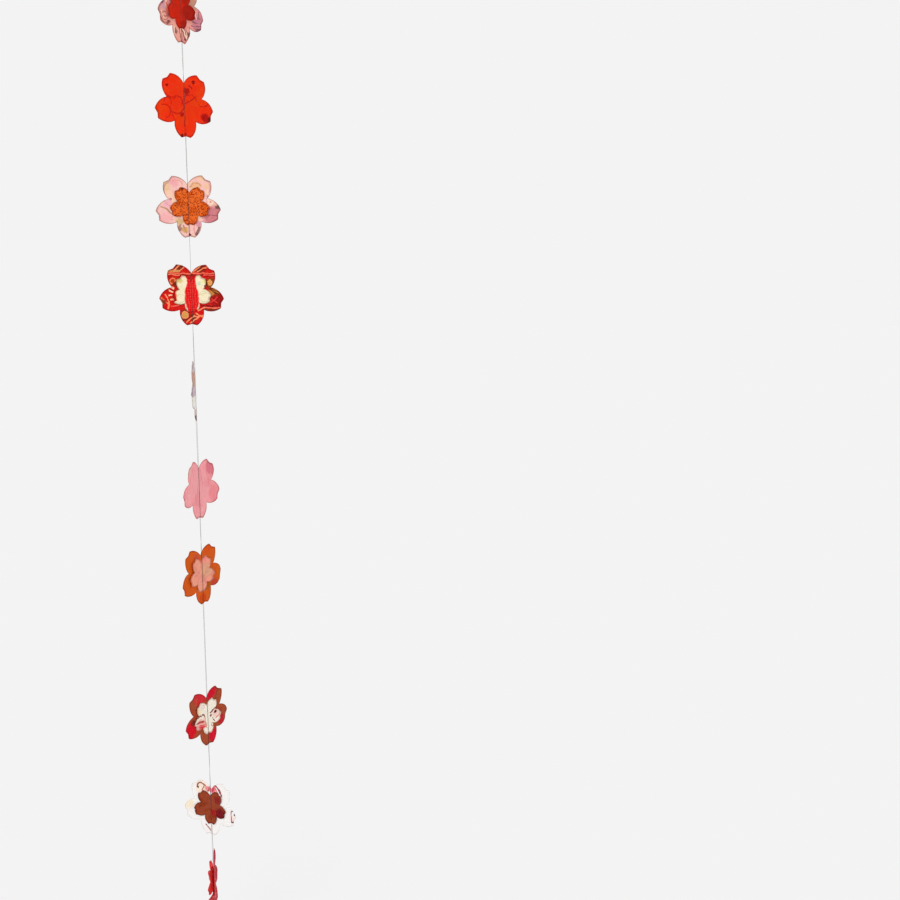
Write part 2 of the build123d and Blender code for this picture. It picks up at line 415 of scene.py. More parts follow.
def sheetMesh(punch, steps, roll, fold, bend, aside, up, lift, curls, seed):
    edge = outlinePoints(punch, steps["side"], steps["tip"])
    rim = []
    for petal in range(petals):
        spun = Matrix.Rotation(math.radians(180 + roll + petal * 360 / petals), 2)
        right = [spun @ point for point in edge]
        left = [spun @ Vector((-point.x, point.y)) for point in edge]
        rim += right[:-1] + left[:0:-1]
    bm = bmesh.new()
    bmesh.ops.create_grid(bm, x_segments=len(rim), y_segments=steps["rings"], size=0.5)
    radial = bm.verts.layers.float.new("reach")
    for vertex in bm.verts:
        column = round((vertex.co.x + 0.5) * len(rim))
        share = max(0.0, min(1.0, vertex.co.y + 0.5)) ** cutting["bunching"]
        place = rim[column % len(rim)] * share
        vertex[radial] = share
        vertex.co = (place.x + aside, place.y + up, 0)
    bmesh.ops.remove_doubles(bm, verts=bm.verts[:], dist=cutting["weld"])
    cut = bmesh.ops.bisect_plane(bm, geom=bm.verts[:] + bm.edges[:] + bm.faces[:], dist=cutting["weld"],
                                 plane_co=(0, 0, 0), plane_no=(1, 0, 0))
    for element in cut["geom_cut"]:
        if isinstance(element, bmesh.types.BMEdge):
            element.smooth = False
    bmesh.ops.recalc_face_normals(bm, faces=bm.faces[:])
    if bm.faces[0].normal.z < 0:
        bmesh.ops.reverse_faces(bm, faces=bm.faces[:])
    uv = bm.loops.layers.uv.new("flat")
    seam = bm.loops.layers.uv.new("seam")
    untilt = Matrix.Rotation(math.radians(-roll), 2)
    for face in bm.faces:
        for corner in face.loops:
            place = corner.vert.co.xy
            flat = untilt @ (place - Vector((aside, up)))
            corner[uv].uv = (flat.x / flatSpan + 0.5, flat.y / flatSpan + 0.5)
            corner[seam].uv = (place.x / flatSpan + 0.5, place.y / flatSpan + 0.5)
    for vertex in bm.verts:
        x, y, share = vertex.co.x, vertex.co.y, vertex[radial]
        ripple = sum(noise.noise(Vector((x * scale, y * scale, seed + shift))) * height
                     for scale, height, shift in cutting["ripples"])
        rise = lift + ripple * share ** 2 * min(1.0, abs(x) / cutting["calmSeam"])
        for direction, start, amount in curls:
            toward = math.radians(direction)
            past = x * math.cos(toward) + y * math.sin(toward) - start
            if past > 0:
                rise += amount * past * past
        across, wing = onWing(punch, abs(x), fold, bend)
        vertex.co = (math.copysign(across, x), y, wing + rise)
    return bm


def hang(bm, facing, height):
    stand = (Matrix.Translation((0, 0, height)) @ Matrix.Rotation(math.radians(facing), 4, "Z")
             @ Matrix.Rotation(math.pi / 2, 4, "X"))
    bmesh.ops.transform(bm, matrix=Matrix.Scale(mm, 4) @ stand, verts=bm.verts[:])


sheetSteps = {"large": {"rings": 24, "side": 8, "tip": 3}, "small": {"rings": 18, "side": 7, "tip": 3}}
seeds = {"large": (3.7, 0), "small": (5.3, 40)}
# curls of the large sheets: direction in the sheet, distance where it starts, how fast it lifts
petalCurls = {
    1: [(-20, 20, -0.012), (60, 22, 0.010)],
    2: [(-18, 22, 0.012)],
    3: [(198, 20, 0.010), (-18, 22, 0.014)],
    4: [(198, 22, 0.012), (-18, 22, 0.010)],
    6: [(54, 12, -0.0075), (126, 20, 0.006)],
    7: [(54, 20, 0.008), (-18, 20, -0.014)],
    8: [(54, 22, 0.010), (198, 24, 0.008), (-18, 20, -0.022)],
    9: [(126, 24, 0.006)],
    10: [(-90, 12, 0.030)],
}


def flowerSheet(index, which, punch, materials):
    facing, largeRoll, smallRoll, largeFold, largeBend, smallFold, smallBend, aside, up = flowers[index][1:]
    if which == "large":
        shape = (largeRoll, largeFold, largeBend, 0.0, 0.0, 0.0, petalCurls.get(index + 1, ()))
    else:  # its back lies on the large sheet's face at the seam
        lift = punch["paper"] / math.cos(math.radians(smallFold))
        shape = (smallRoll, smallFold, smallBend, aside, up, lift, ())
    pace, first = seeds[which]
    bm = sheetMesh(punch, sheetSteps[which], *shape, index * pace + first)
    hang(bm, facing, heights[index])
    node = "flower_%02d_%s_sheet" % (index + 1, which)
    piece = addPiece(node.replace("_sheet", "Paper"), bm, node, materials)
    solid = piece.modifiers.new("paper thickness", "SOLIDIFY")
    solid.thickness, solid.offset = punch["paper"] * mm, -1.0
    solid.use_even_offset = True
    solid.material_offset, solid.material_offset_rim = 1, 2


# a hand's wobble: how fine it is, and how many millimetres it moves a mark
wobble = {"sway": (0.16, 3.2), "jitter": (0.9, 0.8)}
# how far a mark's edge fades to either side
fade = {"usual": 0.16, "crisp": 0.12, "loose": 0.3, "angle": 0.06, "dot": 0.15, "fleck": 0.08, "level": 0.5}


class Sheet:  # the drawing surface of one sheet: its own millimetres, and the same with a hand's wobble
    def __init__(self, name):
        self.shade = Shade(name)
        self.place = self.spread("flat")
        moves = [self.moved(*values) for values in wobble.values()]
        self.drawn = self.shade.vector("ADD", self.place, self.shade.vector("ADD", *moves))
        self.right, self.up = self.split(self.drawn)

    def spread(self, layer):  # one of the sheet's flat maps, in millimetres from the middle
        flat = self.shade.add("ShaderNodeUVMap", {"uv_map": layer})
        centred = self.shade.vector("SUBTRACT", flat, (0.5, 0.5, 0))
        return self.shade.vector("MULTIPLY", centred, (flatSpan, flatSpan, 0))

    def moved(self, scale, reach):
        cloud = self.shade.noise(self.place, scale, 1.0, output=1)
        centred = self.shade.vector("SUBTRACT", cloud, (0.5, 0.5, 0.5))
        return self.shade.vector("MULTIPLY", centred, (reach, reach, 0))

    def split(self, place):
        across = self.shade.add("ShaderNodeSeparateXYZ", None, {0: place})
        return across, Wire(self.shade, across.socket.node.outputs[1])

    def inside(self, value, edge, soft=fade["usual"]):  # 1 where a value is below an edge
        return self.shade.step(value, edge - soft, edge + soft, 1.0, 0.0)

    def away(self, x, y):
        return self.shade.distance(self.drawn, x, y)

    def polar(self, x, y):
        right, up = self.split(self.shade.vector("SUBTRACT", self.drawn, (x, y, 0)))
        return self.away(x, y), up.calc("ARCTAN2", up, right)

    def lay(self, mask, under, colour, blend="MIX"):
        return self.shade.mix(mask, under, tint(*colour), blend)


def drawDisc(sheet, under, x, y, radius, colour):
    return sheet.lay(sheet.inside(sheet.away(x, y), radius), under, colour)


patchEdge = {"scale": 0.35, "reach": 5.0, "soft": 0.5, "softShare": 0.2}


def drawPatch(sheet, under, x, y, radius, colour):  # a soft field of colour
    cloud = sheet.shade.noise(sheet.place, patchEdge["scale"], 2.0) - 0.5
    away = sheet.away(x, y) + cloud * patchEdge["reach"]
    soft = patchEdge["soft"] + radius * patchEdge["softShare"]
    return sheet.lay(sheet.inside(away, radius, soft), under, colour)


def drawArc(sheet, under, x, y, radius, start, sweep, width, colour):  # part of a ring, from an angle on
    away, angle = sheet.polar(x, y)
    turned = angle - math.radians(start + sweep / 2) + math.pi
    turned = abs(turned.calc("FLOORED_MODULO", turned, 2 * math.pi) - math.pi)
    mask = (sheet.inside(abs(away - radius), width / 2, fade["crisp"])
            * sheet.inside(turned, math.radians(sweep / 2), fade["angle"]))
    return sheet.lay(mask, under, colour)


def drawRing(sheet, under, x, y, radius, width, colour):
    return sheet.lay(sheet.inside(abs(sheet.away(x, y) - radius), width / 2, fade["crisp"]), under, colour)


def drawLine(sheet, under, x, y, angle, length, width, colour):  # a stroke from a point, at an angle
    half = length / 2
    cos, sin = math.cos(math.radians(angle)), math.sin(math.radians(angle))
    middleX, middleY = x + cos * half, y + sin * half
    beyond = abs(sheet.shade.along(sheet.drawn, angle + 90, -middleX * cos - middleY * sin))
    off = abs(sheet.shade.along(sheet.drawn, angle, -middleX * sin + middleY * cos))
    mask = sheet.inside(off, width / 2, fade["crisp"]) * sheet.inside(beyond, half, fade["loose"])
    return sheet.lay(mask, under, colour)


blossom = {"lobe": 0.34, "least": 0.66, "line": 0.3, "heart": 0.2}


def drawBlossom(sheet, under, x, y, radius, turn, fill, line):  # a round five-petalled plum blossom
    away, angle = sheet.polar(x, y)
    lobes = abs((angle * (petals / 2) + math.radians(turn)).cosine())
    reach = away / (lobes * blossom["lobe"] + blossom["least"])
    under = sheet.lay(sheet.inside(reach, radius), under, fill)
    under = sheet.lay(sheet.inside(abs(reach - radius), blossom["line"], fade["crisp"]), under, line)
    return sheet.lay(sheet.inside(away, radius * blossom["heart"]), under, line)


dotShift = 40  # in pitches, so that no place on a sheet is below zero


def drawDots(sheet, under, pitch, radius, colour):  # spots in loose rows
    shifted = sheet.shade.vector("ADD", sheet.drawn, (pitch * dotShift, pitch * dotShift, 0))
    cell = sheet.shade.vector("MODULO", shifted, (pitch, pitch, 1))
    away = sheet.shade.distance(cell, pitch / 2, pitch / 2)
    return sheet.lay(sheet.inside(away, radius, fade["dot"]), under, colour)


def drawFlecks(sheet, under, scale, radius, colour):  # small scattered spots
    cells = sheet.shade.add("ShaderNodeTexVoronoi", {"feature": "F1"},
                            {"Vector": sheet.drawn, "Scale": scale, "Randomness": 0.8})
    return sheet.lay(sheet.inside(cells, radius, fade["fleck"]), under, colour)


def drawMarble(sheet, under, scale, low, high, colour):  # fields that run into each other
    cloud = sheet.shade.noise(sheet.place, scale, 2.0, 0.5, 0.6)
    return sheet.lay(sheet.shade.step(cloud, low, high), under, colour)


streak = {"rough": 0.6, "low": 0.62, "high": 0.66}


def drawStreaks(sheet, under, across, along, share, colour):  # long thin marks, level or upright
    grain = sheet.shade.vector("MULTIPLY", sheet.drawn, (across, along, 0))
    cloud = sheet.shade.noise(grain, 1.0, 2.0, streak["rough"])
    return sheet.lay(sheet.shade.step(cloud, streak["low"] - share, streak["high"] - share), under, colour)


def drawStreaksIn(sheet, under, x, y, radius, *values):  # the same, kept inside a disc
    keep = sheet.inside(sheet.away(x, y), radius, fade["loose"])
    return sheet.shade.mix(keep, under, drawStreaks(sheet, under, *values))


def bandEdge(sheet, wave, period, lift):  # the distance from an upright line, made wavy
    swell = (sheet.up + lift) * (2 * math.pi / period)
    return abs(sheet.right) - swell.cosine() * wave


bandLine = 0.6


def drawBand(sheet, under, half, wave, period, lift, colour, line):  # an upright wavy band, outlined
    edge = bandEdge(sheet, wave, period, lift)
    under = sheet.lay(sheet.inside(edge, half + bandLine), under, line)
    return sheet.lay(sheet.inside(edge, half), under, colour)


def drawSpotted(sheet, under, half, wave, period, lift, pitch, radius, colour):  # spots inside such a band
    keep = sheet.inside(bandEdge(sheet, wave, period, lift), half, fade["loose"])
    return sheet.shade.mix(keep, under, drawDots(sheet, under, pitch, radius, colour))


def drawLevels(sheet, under, levels):  # level fields of colour, each above its height
    for height, colour in levels:
        mask = sheet.shade.step(sheet.up, height - fade["level"], height + fade["level"])
        under = sheet.lay(mask, under, colour)
    return under


brush = {"disc": drawDisc, "patch": drawPatch, "ring": drawRing, "arc": drawArc, "line": drawLine,
         "blossom": drawBlossom, "flecks": drawFlecks, "marble": drawMarble, "streaks": drawStreaks,
         "streaksIn": drawStreaksIn, "band": drawBand, "spotted": drawSpotted, "levels": drawLevels}

peach, gold, umber, cream = (252, 150, 104), (212, 158, 76), (128, 40, 10), (250, 235, 208)
papers = {
    (1, "large"): {"ground": (244, 168, 152), "print": [
        # the mauve patch at 24, -10 is painted shade on the curled right-lower petal
        ("marble", 0.07, 0.5, 0.62, (238, 150, 152)), ("patch", 24, -10, 9, (214, 134, 148)),
        ("patch", 17, 8, 6, (204, 148, 124)), ("patch", -23, 1, 5, (218, 160, 172)),
        ("streaksIn", 23, -12, 9, 0.07, 0.6, 0.1, (146, 92, 98)),
        ("arc", -8, -1, 11.5, 150, 80, 2.2, (250, 146, 122)),
        ("ring", -22, -3, 6.5, 1.0, (190, 112, 110)), ("ring", -22, -9, 3.6, 0.9, (186, 108, 106)),
        ("patch", -30, -4, 2.6, (196, 158, 144)), ("disc", -25, 3, 1.6, (140, 88, 92)),
        ("patch", -17, -14, 2.4, (150, 90, 90)), ("disc", -16, -13, 1.0, (120, 66, 70)),
        ("line", 20.5, 2, -84, 7, 1.4, (255, 208, 188)), ("line", 24.5, 2, -84, 7, 1.2, (150, 100, 102)),
        ("line", -3, -17, -78, 14, 1.0, (144, 76, 70)), ("line", 0, -17.5, -56, 11, 1.0, (124, 58, 54)),
        ("line", 1.6, -17.5, -52, 9, 1.2, (255, 222, 198)), ("line", 4, -17.5, -62, 10, 1.0, (124, 58, 54)),
        ("arc", 2, -23, 6.5, -50, 100, 1.0, (130, 66, 62)), ("disc", 6, -27, 1.6, (138, 74, 74)),
        ("patch", -8, -21, 2.4, (150, 102, 94)), ("patch", 10, -22, 2.4, (134, 84, 80)),
        ("arc", -20, -6, 9.4, 190, 120, 1.0, (150, 90, 88)),
        ("arc", -16, 2, 5, 60, 200, 1.1, (252, 206, 186)),
        ("line", -27, -5, -60, 8, 1.2, (252, 212, 192)), ("line", -9, -17, -100, 8, 1.2, (252, 206, 188)),
        ("arc", 17, -12, 6, 200, 140, 1.0, (140, 82, 86)), ("line", 6.5, -19, -80, 8, 1.2, (252, 208, 188)),
        ("blossom", -18, 18, 6, 10, (248, 196, 180), (160, 100, 96)),
        ("blossom", 17, 19, 6.5, 40, (246, 186, 170), (160, 100, 96))]},
    (1, "small"): {"ground": (212, 30, 2), "print": [
        # the darker patch at 12, -4 is painted shade over the right half
        ("marble", 0.1, 0.45, 0.65, (196, 34, 8)), ("patch", 12, -4, 9, (168, 20, 4)),
        ("patch", 3, -16, 5, (170, 22, 4)), ("patch", 8, 9, 5, (180, 22, 2))]},
    (2, "large"): {"ground": (240, 46, 2), "through": 1.0, "print": [
        ("marble", 0.06, 0.45, 0.6, (236, 58, 0)), ("arc", 7, 2, 5, 20, 200, 1.2, (198, 18, 2)),
        ("arc", 9, -1, 8, 160, 150, 1.1, (202, 22, 4)), ("arc", -20, 6, 7, 150, 170, 1.1, (206, 24, 4)),
        ("arc", -6, 1, 8, 40, 120, 1.1, (204, 24, 4)), ("arc", 22, -7, 6, 60, 200, 1.1, (200, 20, 4)),
        ("arc", 14, 12, 6, 200, 140, 1.0, (208, 26, 6)), ("arc", 18, 2, 4, 0, 220, 1.1, (200, 22, 4)),
        ("line", -13, 8, -30, 14, 1.1, (204, 24, 4)), ("line", 0, -12, -80, 9, 1.0, (200, 22, 4)),
        ("line", 0, 12, -86, 9, 1.2, (204, 22, 4)),
        ("line", 12, -16, 75, 14, 0.9, (206, 26, 6)), ("disc", 18.3, 17, 1.6, (150, 6, 2)),
        ("disc", -10, 22, 1.8, (156, 8, 2)), ("line", -5, 19, -135, 5, 1.4, (176, 10, 4)),
        ("patch", -3, 12, 3, (178, 10, 4)), ("patch", 3, -9.5, 2.2, (188, 8, 4)),
        ("patch", -22, -11.5, 4.4, (180, 8, 4)), ("patch", -27, -13.5, 2.4, (120, 10, 6)),
        ("disc", 4.5, -30, 1.8, (120, 16, 8)), ("disc", 0.5, -28, 1.2, (140, 14, 6))]},
    (2, "small"): {"ground": (240, 172, 142), "print": [
        ("blossom", 0, 8, 5, 0, (220, 60, 40), cream), ("blossom", -9, -5, 4.5, 30, (200, 40, 30), cream),
        ("blossom", 9, -6, 4.5, 60, (230, 90, 60), cream)]},
    (3, "large"): {"ground": (242, 194, 186), "print": [
        ("marble", 0.06, 0.48, 0.62, (246, 204, 178)), ("patch", -21, 19, 4.6, (234, 196, 156)),
        ("patch", -12, 22, 4, (240, 172, 174)), ("arc", -14, 14, 9, 110, 110, 1.2, (206, 158, 148)),
        ("patch", 8, 17, 5, (238, 186, 144)), ("arc", -14, 15, 11.6, 90, 130, 0.9, (226, 162, 160)),
        ("arc", 12, 16, 10, -30, 110, 0.9, (224, 162, 160)),
        ("line", -15, -14, 168, 11, 0.9, (226, 152, 158)),
        ("arc", -22, -6, 7.6, 200, 130, 0.9, (228, 156, 160)),
        ("arc", -10, 20, 5, 0, 160, 0.9, (230, 160, 158)),
        ("arc", 8, 16, 5.4, 20, 150, 1.2, (214, 158, 120)),
        ("patch", 13, 26, 2.6, (240, 198, 164)), ("patch", 19, 18, 3, (242, 194, 158)),
        ("disc", 19, 8, 1.2, (206, 140, 140)), ("disc", -17, 6, 1.1, (182, 122, 126)),
        ("patch", -20, 2, 4, (240, 178, 190)), ("patch", -22, -11, 5, (243, 180, 180)),
        ("line", -27, 0, -28, 6, 1.5, (196, 148, 116)), ("line", -22, -2.5, -44, 8, 1.5, (190, 138, 112)),
        # the darker mauve patch at 24, -11 is painted shade on the right-lower petal
        ("line", -22, 2.5, -30, 7, 0.8, (216, 156, 140)), ("patch", 24, -11, 10, (208, 128, 134)),
        ("patch", 29, -3, 2, (124, 84, 78)), ("line", 18, -9, -12, 12, 0.9, (176, 96, 104)),
        ("blossom", 22, 3, 4.6, 20, (252, 214, 196), (214, 152, 140)),
        ("patch", -9, -16, 3.6, (214, 178, 132)), ("patch", -9.5, -22, 2.6, (168, 128, 114)),
        ("patch", -4, -24, 2.8, (216, 166, 100)), ("patch", 9, -18, 3.0, (218, 152, 166)),
        ("line", 9.5, -21, -112, 9, 2.4, (150, 106, 104)), ("line", -6, -19, -70, 9, 0.9, (190, 136, 112)),
        ("line", 4, -19, -80, 8, 0.9, (226, 150, 148)), ("disc", 0, -28.3, 1.2, (108, 40, 40))]},
    (3, "small"): {"ground": (236, 108, 36), "print": [
        ("marble", 0.12, 0.45, 0.6, (224, 94, 18)), ("flecks", 0.74, 0.44, (150, 40, 0)),
        ("disc", -6.5, 16.4, 1.2, (124, 30, 4))]},
    (4, "large"): {"ground": (212, 16, 14), "print": [
        ("marble", 0.07, 0.48, 0.6, (188, 12, 8)), ("patch", 9, 25, 4.8, (132, 32, 4)),
        ("patch", -12, 26, 4.2, (136, 40, 6)), ("line", -24, 21.8, 2, 13, 2.0, (214, 150, 88)),
        ("line", -26, 19.2, 0, 50, 3.0, (160, 20, 8)), ("line", -23, 20, 0, 46, 1.1, (246, 112, 84)),
        ("line", -23, 18.4, 0, 12, 1.0, peach), ("line", 12, 18.2, 0, 12, 1.0, (240, 96, 80)),
        ("line", 13, 16.6, 0, 10, 0.9, (150, 12, 10)),
        ("line", -16.5, 22.5, 46, 8, 1.2, peach), ("line", -11, 22, 48, 8, 1.2, peach),
        ("line", 1.5, 21, 40, 11, 1.2, peach), ("line", 5.5, 21.2, 30, 12, 1.1, peach),
        ("patch", -17, 12, 4, (180, 60, 16)), ("ring", -18, 12.5, 2.8, 1.1, (248, 130, 84)),
        ("patch", -15, 9, 2.6, (130, 34, 6)), ("patch", 18, 10, 4.8, (132, 66, 14)),
        ("disc", 17.6, 10.4, 2.9, (230, 160, 90)), ("patch", 22, 2.4, 5, (206, 140, 66)),
        ("line", 18, 6, -30, 14, 1.1, (120, 50, 10)), ("line", -17.4, 5.0, 148, 4.4, 1.6, (255, 200, 160)),
        ("line", -17.6, 1.8, 168, 4.6, 1.6, (255, 202, 162)),
        ("line", -17.8, -1.6, 186, 4.4, 1.6, (255, 196, 154)),
        ("line", -17, -4.8, 204, 3.8, 1.4, (255, 184, 142)),
        ("line", -26, 0, -62, 8.5, 1.2, peach), ("line", -22, -7, -94, 8, 1.3, peach),
        ("line", -30, -3.6, -42, 11, 1.2, peach), ("patch", -27.5, -8, 2.6, (150, 40, 14)),
        ("line", -20.5, -12, 0, 8, 1.2, (244, 104, 84)), ("patch", -31, -9, 3, (226, 176, 138)),
        ("line", 9, -11.8, 0, 22, 1.5, (122, 16, 4)), ("line", 11, -13.6, -2, 20, 1.2, (246, 122, 96)),
        ("line", 11, -15.8, -2, 18, 2.2, (132, 44, 14)), ("patch", 25, -6, 6, (164, 8, 8)),
        ("line", 17, -8.5, 32, 10, 1.1, (226, 60, 54)),
        ("line", 19, -4.6, -36, 8, 1.0, (226, 60, 54)),
        ("line", 17, 5.4, -36, 12, 1.3, (112, 46, 10)), ("line", 14.6, 13, -80, 7, 1.2, (112, 46, 10)),
        ("patch", -6.9, -21.5, 5.4, (120, 44, 8)), ("disc", -6.9, -21.5, 3.8, (250, 146, 100)),
        ("disc", -6.9, -21.5, 2.7, gold), ("patch", 2, -24, 3.4, umber),
        ("line", -6, -28.5, 38, 11, 1.2, peach), ("line", -2, -29.4, 38, 13, 1.2, peach),
        ("line", 3, -19.4, -28, 10, 1.1, peach), ("line", 2, -22.6, 4, 10, 1.1, peach),
        ("line", 6, -17.6, 36, 8, 1.2, (250, 150, 110)), ("patch", 5.5, -28, 2.4, (214, 20, 20))]},
    (4, "small"): {"ground": (255, 236, 202), "print": [
        ("marble", 0.13, 0.52, 0.66, (246, 234, 190)), ("patch", -11, 12.5, 2.8, (228, 204, 128)),
        ("ring", -11, -5, 4.0, 0.6, (212, 210, 168)), ("ring", 12, -4, 5, 0.6, (212, 210, 168)),
        ("line", 6, -2, 8, 8, 0.6, (206, 200, 158)), ("patch", 8, 9, 2.2, (218, 226, 196)),
        ("patch", 12.5, 11, 2.0, (236, 240, 150)), ("disc", 13.4, 6.6, 1.1, (120, 96, 40)),
        ("line", -17.8, 4, -90, 11, 5.4, (200, 16, 12)),
        ("line", -14.4, 4, -92, 10.5, 0.8, (250, 150, 110)),
        ("band", 5.3, 1.4, 34.0, 5.0, (230, 4, 14), (250, 150, 128)),
        ("spotted", 5.0, 1.4, 34.0, 5.0, 2.3, 0.55, (244, 84, 74))]},
    (5, "large"): {"ground": (116, 76, 74), "through": 1.0, "sheer": 0.7, "print": [
        ("levels", ((-25, (216, 176, 170)), (-19, (238, 238, 226)), (-5.5, (192, 172, 184)),
                    (4, (198, 152, 134)), (19, (198, 184, 188)))),
        ("ring", -14, -12, 7, 0.7, (236, 226, 206)), ("ring", -14, -12, 5, 0.6, (236, 226, 206)),
        ("blossom", -15, 13, 6, 15, (240, 200, 180), (130, 80, 84)),
        ("blossom", 14, 12, 5, 40, (196, 156, 146), (140, 96, 92)),
        ("ring", 16, -12, 6, 0.7, (206, 206, 190))]},
    (5, "small"): {"ground": (228, 228, 210), "sheer": 0.7, "print": [
        ("blossom", 0, 6, 5, 0, (222, 120, 120), cream), ("flecks", 0.3, 0.2, (150, 110, 100))]},
    (6, "large"): {"ground": (252, 168, 172), "through": 0.15, "print": [
        ("blossom", -17, 16, 6, 10, (250, 206, 200), (214, 96, 112)),
        ("blossom", 20, -8, 6.5, 40, (250, 206, 200), (214, 96, 112)),
        ("blossom", -2, -22, 5, 60, (248, 196, 192), (214, 96, 112))],
        # on the back, the darker patches at -19, 20 and -24, -8 are painted shade on the petals at the right,
        # and the upright streaks are painted shade of vertical creases
        "shown": [("marble", 0.05, 0.48, 0.66, (244, 154, 160)), ("patch", -19, 20, 8, (224, 122, 136)),
                  ("patch", -24, -8, 9, (244, 148, 154)), ("patch", 22, 20, 6, (232, 176, 168)),
                  ("streaks", 0.5, 0.04, 0.05, (236, 140, 148))]},
    (6, "small"): {"ground": (246, 214, 190), "print": [("flecks", 0.3, 0.3, (214, 70, 70))]},
    (7, "large"): {"ground": (216, 92, 22), "print": [
        ("marble", 0.05, 0.46, 0.6, (214, 96, 14)), ("patch", -27, 7, 6, (210, 84, 46)),
        ("patch", -6, 20, 3.4, (206, 84, 56)), ("patch", 18, -16, 6, (200, 70, 46)),
        ("patch", 7, -15, 4.4, (176, 94, 14)), ("patch", 11, 24, 5, (216, 84, 16)),
        ("patch", -2, -25, 5, (208, 74, 14))]},
    (7, "small"): {"ground": (250, 160, 134), "print": [
        ("marble", 0.1, 0.42, 0.62, (232, 144, 128)), ("patch", 8, 2, 7, (226, 162, 132)),
        ("ring", 9, 2, 5.0, 0.7, (250, 178, 142)), ("ring", -9, -4, 6, 0.8, (252, 172, 148)),
        ("ring", -8, 9, 5, 0.7, (252, 172, 146)), ("patch", 6, 14.5, 2.4, (252, 134, 140)),
        ("ring", 0, -14, 4.5, 0.7, (250, 174, 150)), ("line", 2, -4, 40, 9, 0.7, (196, 132, 106))]},
    (8, "large"): {"ground": (168, 76, 44), "print": [
        ("marble", 0.09, 0.5, 0.7, (176, 62, 38)), ("patch", 7, 24, 7.5, (212, 10, 42)),
        ("patch", -8, 22, 8.4, (208, 40, 50)), ("patch", -26, -8, 9.6, (218, 10, 36)),
        ("patch", 7, -24, 7.5, (214, 10, 42)), ("patch", 20, -11, 5.5, (198, 28, 46)),
        ("line", 14, 14, 76, 16, 0.9, (116, 44, 28)), ("line", -17, 8, 74, 16, 0.9, (186, 100, 66)),
        ("line", -15, -22, 40, 14, 0.9, (190, 70, 58)), ("patch", -20, 0, 3.0, (130, 38, 30))]},
    (8, "small"): {"ground": (255, 244, 226), "print": [
        ("marble", 0.12, 0.55, 0.7, (252, 242, 214)), ("patch", -12, 9, 3, (255, 226, 186)),
        ("patch", -10.5, -6.5, 7, (252, 176, 164)), ("patch", -9, -7, 4.2, (240, 96, 100)),
        ("line", -17, -1.8, -8, 12, 1.6, (176, 76, 72)), ("line", -14, -5, -4, 10, 1.0, (255, 206, 190)),
        ("line", -12, -9, -4, 8, 1.5, (220, 56, 68)), ("line", -14, 3.2, 14, 5, 2.0, (120, 50, 42)),
        ("arc", -6.7, 1.2, 3.0, -20, 170, 1.4, (160, 106, 96)),
        ("line", -3.8, 0.6, -86, 12, 1.6, (220, 150, 134)),
        ("patch", 12, 0, 5, (252, 206, 196)), ("line", 3.6, 2.2, 22, 14, 1.6, (140, 84, 74)),
        ("disc", 11.3, 1.0, 1.7, (92, 24, 20)), ("disc", 5, -1, 1.4, (128, 70, 60)),
        ("line", 7, -3.6, -62, 6, 1.0, (160, 96, 84)), ("arc", 12, 0, 5.8, -100, 160, 1.5, (224, 140, 126)),
        ("ring", 6, -11.4, 1.7, 0.9, (186, 98, 88)), ("ring", -5.5, 12, 1.8, 0.5, (232, 150, 146))]},
    # flower 9's large sheet has only a faint painted edge shade
    (9, "large"): {"ground": (241, 238, 236), "edge": 0.12, "print": [
        ("patch", -12, 20, 7, (246, 226, 210)), ("patch", -26, -1, 6, (244, 230, 206)),
        ("arc", -12, 20, 5, 20, 170, 1.6, (158, 100, 82)), ("disc", -16.4, 19.6, 1.2, (126, 82, 62)),
        ("line", -8.6, 22, -118, 6, 1.2, (170, 96, 84)), ("patch", -5, 19.6, 3.0, (230, 140, 142)),
        ("patch", 1, 20, 4.4, (238, 126, 134)), ("line", 2, 25.4, -92, 9, 2.2, (200, 66, 88)),
        ("line", -3, 21, -100, 5, 1.4, (190, 80, 84)),
        ("arc", 1, 13, 11.6, 5, 85, 1.8, (164, 68, 82)), ("arc", 1, 13, 8.6, 10, 70, 1.5, (206, 116, 120)),
        ("disc", 11, 18.4, 1.2, (140, 44, 54)), ("patch", 27.5, -7, 3.6, (246, 226, 220)),
        ("line", 25.4, 0.6, -86, 12, 1.2, (164, 96, 100)), ("line", 25.6, 1, -12, 4.6, 1.3, (120, 48, 56)),
        ("disc", 29.6, -2.6, 1.4, (92, 30, 40)), ("line", 26, -12, 28, 4.4, 1.4, (112, 50, 60)),
        ("ring", -16.6, -9, 2.4, 1.0, (140, 54, 40)), ("disc", -16.6, -9, 1.2, (246, 240, 232)),
        ("line", -6.3, -20.7, -44, 9, 1.3, (166, 104, 96))]},
    (9, "small"): {"ground": (150, 62, 34), "print": [
        ("marble", 0.08, 0.48, 0.62, (134, 48, 14)), ("patch", 12, -7, 7, (118, 12, 22)),
        ("patch", 3.5, -6, 3.4, (160, 22, 22)), ("patch", 9, 9, 4.4, (138, 30, 28))]},
    (10, "large"): {"ground": (168, 40, 60), "through": 0.5, "sheer": 0.7, "print": [
        # the light patch at 0, 0 is painted light on the face in the narrow fold under the small sheet
        ("marble", 0.07, 0.5, 0.66, (182, 46, 58)), ("patch", 0, 0, 18, (240, 104, 108)),
        ("ring", -16, 14, 6, 0.8, (206, 110, 90)),
        ("ring", 17, 14, 6, 0.8, (206, 110, 90)), ("patch", 0, -27, 7, (186, 46, 46)),
        ("blossom", 20, -9, 5, 20, (170, 50, 60), (226, 150, 120))]},
    (10, "small"): {"ground": (226, 44, 48), "sheer": 0.9, "print": [("flecks", 0.3, 0.2, (236, 100, 90))],
                    # the lighter marble and patch on the back are painted light in the fold against the large
                    # sheet
                    "shown": [("marble", 0.1, 0.3, 0.6, (255, 104, 98)), ("patch", 0, 0, 20, (255, 92, 88))]},
}
